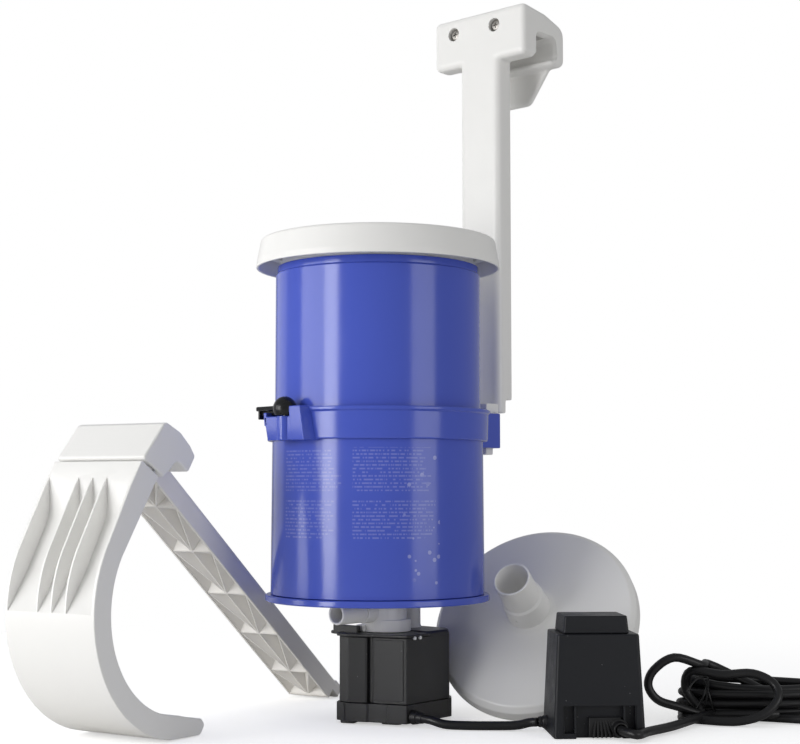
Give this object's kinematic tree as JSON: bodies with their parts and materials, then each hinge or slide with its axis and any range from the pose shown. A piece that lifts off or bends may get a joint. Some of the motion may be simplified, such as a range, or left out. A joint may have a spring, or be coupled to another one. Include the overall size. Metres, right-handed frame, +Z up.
{
  "type": "hanging surface skimmer filter",
  "caption": "Pool surface skimmer that hangs on the wall: float ring, filter drum, latch and submersible pump, with ring bracket, suction plate, transformer and coiled cable.",
  "frame": {"origin": "point on the floor under the axis of the filter drum", "axes": "+Z up along the drum's axis, +Y towards the pool wall that the hanger grips, outlet nozzle and latch towards -Y"},
  "size_m": [0.7046, 0.6501, 0.7568],
  "materials": {
    "blue_plastic": "glossy moulded polypropylene",
    "white_plastic": "satin moulded polypropylene",
    "black_plastic": "satin black plastic",
    "black_rubber": "matt rubber",
    "screw_steel": "plated steel",
    "copper_winding": "enamelled copper wire",
    "core_laminate": "stacked steel laminations, or sintered magnet",
    "filter_fleece": "pleated polyester fleece, or closed-cell foam"
  },
  "bodies": {
    "skimmer": {"base_plate": "blue_plastic", "lower_housing": "blue_plastic", "collar_ring": "blue_plastic", "housing_seal": "black_rubber", "pump_housing": "black_plastic", "pump_base_cover": "black_plastic", "pump_foot_1": "black_rubber", "pump_foot_2": "black_rubber", "pump_foot_3": "black_rubber", "pump_foot_4": "black_rubber", "pump_flange": "black_plastic", "pump_volute": "white_plastic", "outlet_nozzle": "white_plastic", "support_post": "white_plastic", "rear_bush": "black_rubber", "front_bush": "black_rubber", "rotor_shaft": "screw_steel", "stator_core": "core_laminate", "stator_coil": "copper_winding", "cable_gland": "black_plastic", "pump_cable": "black_rubber", "supply_strain_relief": "black_plastic", "transformer_case": "black_plastic", "transformer_floor": "black_plastic", "transformer_cap": "black_plastic", "transformer_core": "core_laminate", "transformer_winding": "copper_winding", "mains_strain_relief": "black_plastic", "mains_cable": "black_rubber", "cable_tie": "black_plastic", "mains_plug": "black_plastic", "plug_pin_1": "screw_steel", "plug_pin_2": "screw_steel"},
    "upper_drum": {"upper_housing": "blue_plastic"},
    "float": {"float_ring": "white_plastic", "float_foam": "filter_fleece"},
    "basket": {"leaf_basket": "white_plastic"},
    "cartridge": {"cartridge_bottom_cap": "blue_plastic", "cartridge_top_cap": "blue_plastic", "cartridge_core": "white_plastic", "cartridge_pleats": "filter_fleece"},
    "wall_hanger": {"hanger": "white_plastic"},
    "clamp": {"clamp_pad": "white_plastic"},
    "left_screw": {"clamp_screw_left": "screw_steel"},
    "right_screw": {"clamp_screw_right": "screw_steel"},
    "latch": {"latch_lever": "black_plastic", "latch_pin": "screw_steel"},
    "rotor": {"rotor_magnet": "core_laminate", "impeller": "black_plastic"},
    "vacuum_head": {"vacuum_plate": "white_plastic", "vacuum_spigot": "white_plastic"},
    "ring_hanger": {"ring_bracket_arm": "white_plastic"},
    "ring_plate": {"ring_bracket_plate": "white_plastic"}
  },
  "joints": [
    {"name": "upper_drum_lift", "type": "slide", "parent": "skimmer", "child": "upper_drum", "axis": [0, 0, 1], "range_m": [0, 0.12]},
    {"name": "float_rise", "type": "slide", "parent": "upper_drum", "child": "float", "axis": [0, 0, 1], "range_m": [0, 0.03]},
    {"name": "basket_lift", "type": "slide", "parent": "upper_drum", "child": "basket", "axis": [0, 0, 1], "range_m": [0, 0.15]},
    {"name": "cartridge_lift", "type": "slide", "parent": "skimmer", "child": "cartridge", "axis": [0, 0, 1], "range_m": [0, 0.02]},
    {"name": "hanger_lift", "type": "slide", "parent": "skimmer", "child": "wall_hanger", "axis": [0, 0, 1], "range_m": [0, 0.05]},
    {"name": "clamp_press", "type": "slide", "parent": "wall_hanger", "child": "clamp", "axis": [0, 1, 0], "range_m": [0, 0.008]},
    {"name": "left_screw_turn", "type": "hinge", "parent": "clamp", "child": "left_screw", "pos_m": [-0.035, 0.165, 0.7385], "axis": [0, 1, 0], "range_deg": [0, 2304]},
    {"name": "right_screw_turn", "type": "hinge", "parent": "clamp", "child": "right_screw", "pos_m": [0.022, 0.165, 0.7385], "axis": [0, 1, 0], "range_deg": [0, 2304]},
    {"name": "latch_swing", "type": "hinge", "parent": "skimmer", "child": "latch", "pos_m": [-0.0127, -0.118, 0.304], "axis": [0, 0, 1], "range_deg": [0, 60]},
    {"name": "rotor_spin", "type": "hinge", "parent": "skimmer", "child": "rotor", "pos_m": [0, 0.01, 0.06], "axis": [0, 0, 1], "continuous": true},
    {"name": "vacuum_head_move", "type": "slide", "parent": "skimmer", "child": "vacuum_head", "axis": [0, 1, 0], "range_m": [0, 0.1]},
    {"name": "ring_hanger_move", "type": "slide", "parent": "skimmer", "child": "ring_hanger", "axis": [-1, 0, 0], "range_m": [0, 0.15]},
    {"name": "ring_plate_slide", "type": "slide", "parent": "ring_hanger", "child": "ring_plate", "axis": [-0.9854, -0.1702, 0], "range_m": [0, 0.11]}
  ],
  "couplings": [
    {"joint": "left_screw_turn", "follows": "clamp_press", "rad_per_m": 5026.5},
    {"joint": "right_screw_turn", "follows": "clamp_press", "rad_per_m": 5026.5}
  ]
}
